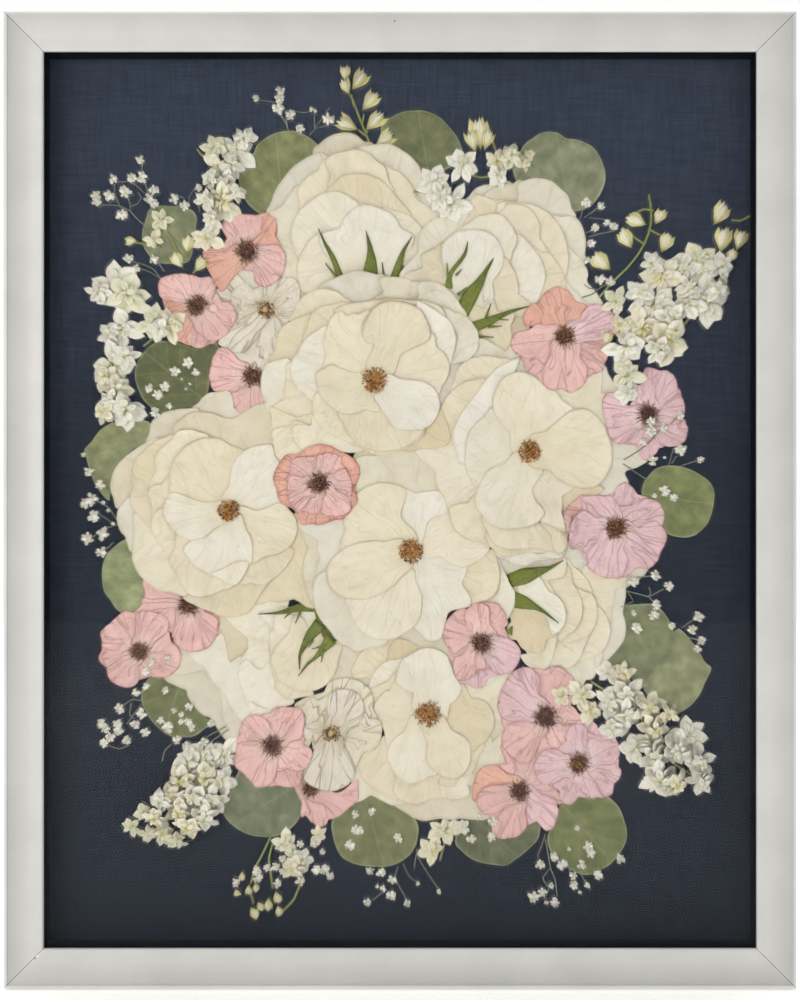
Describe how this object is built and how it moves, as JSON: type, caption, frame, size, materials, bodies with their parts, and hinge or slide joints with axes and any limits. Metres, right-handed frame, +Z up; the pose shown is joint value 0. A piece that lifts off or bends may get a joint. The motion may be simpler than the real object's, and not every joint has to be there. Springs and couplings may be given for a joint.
{
  "type": "pressed flower frame",
  "caption": "Shadow-box frame with a glazed front, holding pressed cream roses, pink flowers, larkspur sprigs and eucalyptus leaves laid on a dark linen panel, with a hanger on the back",
  "frame": {"origin": "where the wall's nail meets the middle notch of the sawtooth hanger, in the plane of the rails' back", "axes": "+X to the right as seen from the front, -Y out of the glass towards the room, +Z up"},
  "size_m": [0.438, 0.0343, 0.5396],
  "materials": {
    "painted_wood": "satin white paint on wood",
    "clear_glass": "clear, polished",
    "navy_linen": "plain-weave linen, matt",
    "navy_spacer": "matt dark cloth over board",
    "hardboard": "raw hardboard",
    "zinc_steel": "zinc plated",
    "cream_petal": "dried petals, matt and veined",
    "pink_petal": "dried petals, matt and veined",
    "green_leaf": "dried leaves, matt and mottled",
    "white_floret": "dried florets, matt"
  },
  "bodies": {
    "root": {"rail_top": "painted_wood", "rail_left": "painted_wood", "rail_bottom": "painted_wood", "rail_right": "painted_wood", "glass_pane": "clear_glass", "linen_panel": "navy_linen", "back_board": "hardboard", "spacer_top": "navy_spacer", "spacer_bottom": "navy_spacer", "spacer_left": "navy_spacer", "spacer_right": "navy_spacer", "sawtooth_hanger": "zinc_steel", "rose_upper_left": "cream_petal", "rose_upper_right": "cream_petal", "rose_lower_left": "cream_petal", "rose_lower_right": "cream_petal", "rose_left": "cream_petal", "rose_bottom": "cream_petal", "rose_lower_middle": "cream_petal", "rose_right": "cream_petal", "rose_middle": "cream_petal", "white_flower_left": "cream_petal", "white_flower_bottom": "cream_petal", "pink_flower_01": "pink_petal", "pink_flower_02": "pink_petal", "pink_flower_03": "pink_petal", "pink_flower_04": "pink_petal", "pink_flower_05": "pink_petal", "pink_flower_06": "pink_petal", "pink_flower_07": "pink_petal", "pink_flower_08": "pink_petal", "pink_flower_09": "pink_petal", "pink_flower_10": "pink_petal", "pink_flower_11": "pink_petal", "pink_flower_12": "pink_petal", "pink_flower_15": "pink_petal", "pink_flower_13": "pink_petal", "pink_flower_14": "pink_petal", "eucalyptus_leaf_01": "green_leaf", "eucalyptus_leaf_02": "green_leaf", "eucalyptus_leaf_03": "green_leaf", "eucalyptus_leaf_04": "green_leaf", "eucalyptus_leaf_05": "green_leaf", "eucalyptus_leaf_06": "green_leaf", "eucalyptus_leaf_07": "green_leaf", "eucalyptus_leaf_08": "green_leaf", "eucalyptus_leaf_09": "green_leaf", "eucalyptus_leaf_10": "green_leaf", "eucalyptus_leaf_11": "green_leaf", "eucalyptus_leaf_12": "green_leaf", "eucalyptus_leaf_13": "green_leaf", "eucalyptus_leaf_14": "green_leaf", "eucalyptus_leaf_15": "green_leaf", "larkspur_sprig_left": "white_floret", "larkspur_buds_top": "white_floret", "larkspur_sprig_bottom_left": "white_floret", "larkspur_sprig_top_right": "white_floret", "larkspur_sprig_top_left": "white_floret", "larkspur_sprig_bottom_right": "white_floret", "larkspur_sprig_right": "white_floret"}
  },
  "joints": []
}
